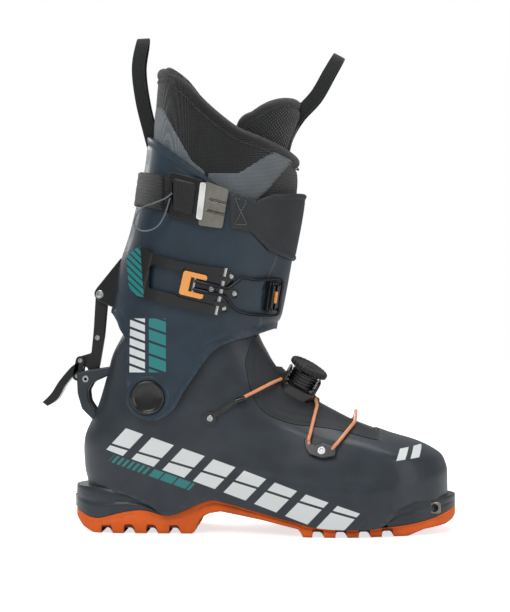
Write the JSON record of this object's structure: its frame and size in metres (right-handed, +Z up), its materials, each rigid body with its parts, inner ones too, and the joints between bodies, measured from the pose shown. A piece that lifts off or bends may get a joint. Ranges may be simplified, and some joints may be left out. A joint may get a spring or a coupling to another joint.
{
  "type": "alpine touring ski boot",
  "caption": "Right-foot alpine touring ski boot: lower shell with treaded sole, hinged cuff with buckle, strap and walk lever, wire-lace dial and padded liner.",
  "frame": {"origin": "centre of the footprint of the bounding box, on the ground", "axes": "+X towards the toe, +Y towards the inner side of the foot, +Z up"},
  "size_m": [0.324, 0.1196, 0.3853],
  "materials": {
    "shell_plastic": "satin moulded dark slate",
    "cuff_plastic": "satin moulded dark petrol blue",
    "sole_rubber": "matt orange rubber",
    "black_plastic": "semi-gloss black moulding",
    "charcoal_rubber": "matt charcoal elastomer",
    "liner_textile": "padded black and grey textile over foam",
    "webbing": "woven black webbing",
    "orange_plastic": "satin orange moulding",
    "lace_wire": "coated steel wire, orange-red",
    "steel": "bright steel",
    "grey_metal": "warm grey metal",
    "dark_metal": "black coated wire",
    "white_plastic": "white label",
    "cord": "thin grey cord"
  },
  "bodies": {
    "lower_boot": {"outsole": "sole_rubber", "lower_shell": "shell_plastic", "footboard": "black_plastic", "liner_foot": "liner_textile", "instep_tongue": "black_plastic", "instep_flap": "charcoal_rubber", "toe_fitting": "grey_metal", "heel_fitting": "steel", "heel_fitting_screw": "steel", "pivot_bushing_outer": "steel", "pivot_cap_outer": "black_plastic", "lock_pin_outer": "steel", "pivot_bushing_inner": "steel", "pivot_cap_inner": "black_plastic", "lock_pin_inner": "steel", "lace_anchor_outer": "black_plastic", "lace_anchor_screw_outer": "steel", "lace_guide_outer": "black_plastic", "lace_guide_screw_outer": "steel", "lace_anchor_inner": "black_plastic", "lace_anchor_screw_inner": "steel", "lace_guide_inner": "black_plastic", "lace_guide_screw_inner": "steel", "dial_base": "black_plastic", "lace_rear": "lace_wire", "lace_rear_inner": "lace_wire", "lace_front": "lace_wire"},
    "cuff": {"cuff_shell": "cuff_plastic", "liner_cuff": "liner_textile", "liner_tongue": "liner_textile", "rear_pull_loop": "webbing", "tongue_pull_loop": "webbing", "power_strap_webbing": "webbing", "power_strap_band": "charcoal_rubber", "power_buckle_frame": "black_plastic", "release_tag": "white_plastic", "power_strap_hook": "grey_metal", "buckle_base": "black_plastic", "buckle_hinge_pin": "steel", "buckle_ladder": "black_plastic", "ladder_insert": "orange_plastic", "walk_bracket": "black_plastic", "walk_bar_pin": "steel"},
    "shin_lever": {"buckle_lever": "black_plastic", "lever_slider": "orange_plastic"},
    "shin_bail": {"buckle_bail": "dark_metal"},
    "strap_cam": {"power_buckle_cam": "black_plastic", "pull_cord": "cord"},
    "walk_bar_body": {"walk_bar": "dark_metal", "walk_bar_rivet": "steel", "walk_lever_pin": "steel"},
    "walk_lever_body": {"walk_lever": "black_plastic", "walk_lever_hook_pin": "steel"},
    "dial_hub_body": {"dial_hub": "black_plastic"},
    "dial_knob_body": {"dial_knob": "black_plastic"}
  },
  "joints": [
    {"name": "cuff_pivot", "type": "hinge", "parent": "lower_boot", "child": "cuff", "pos_m": [-0.074, 0.00264, 0.1047], "axis": [0, 1, 0], "range_deg": [-25, 14]},
    {"name": "walk_bar_swing", "type": "hinge", "parent": "cuff", "child": "walk_bar_body", "pos_m": [-0.116, 0.00264, 0.1836], "axis": [0, 1, 0], "range_deg": [0, 25]},
    {"name": "walk_lever_flip", "type": "hinge", "parent": "walk_bar_body", "child": "walk_lever_body", "pos_m": [-0.132, 0.00264, 0.1315], "axis": [0, 1, 0], "range_deg": [0, 110]},
    {"name": "buckle_lever_hinge", "type": "hinge", "parent": "cuff", "child": "shin_lever", "pos_m": [-0.0177, -0.04952, 0.18562], "axis": [0.2256, -0.0609, 0.9723], "range_deg": [0, 110]},
    {"name": "buckle_bail_hinge", "type": "hinge", "parent": "shin_lever", "child": "shin_bail", "pos_m": [-0.03816, -0.0517, 0.19037], "axis": [0.2256, -0.0609, 0.9723], "range_deg": [-127, 0]},
    {"name": "power_cam_hinge", "type": "hinge", "parent": "cuff", "child": "strap_cam", "pos_m": [-0.039, -0.05568, 0.24241], "axis": [0.1439, -0.0744, 0.9868], "range_deg": [0, 50]},
    {"name": "dial_pull", "type": "slide", "parent": "lower_boot", "child": "dial_hub_body", "axis": [0.49, -0.17, 0.855], "range_m": [0, 0.003]},
    {"name": "dial_turn", "type": "hinge", "parent": "dial_hub_body", "child": "dial_knob_body", "pos_m": [0.04661, -0.01535, 0.12375], "axis": [0.49, -0.17, 0.855], "continuous": true}
  ],
  "couplings": [
    {"joint": "buckle_bail_hinge", "follows": "buckle_lever_hinge", "ratio": -1.15}
  ]
}
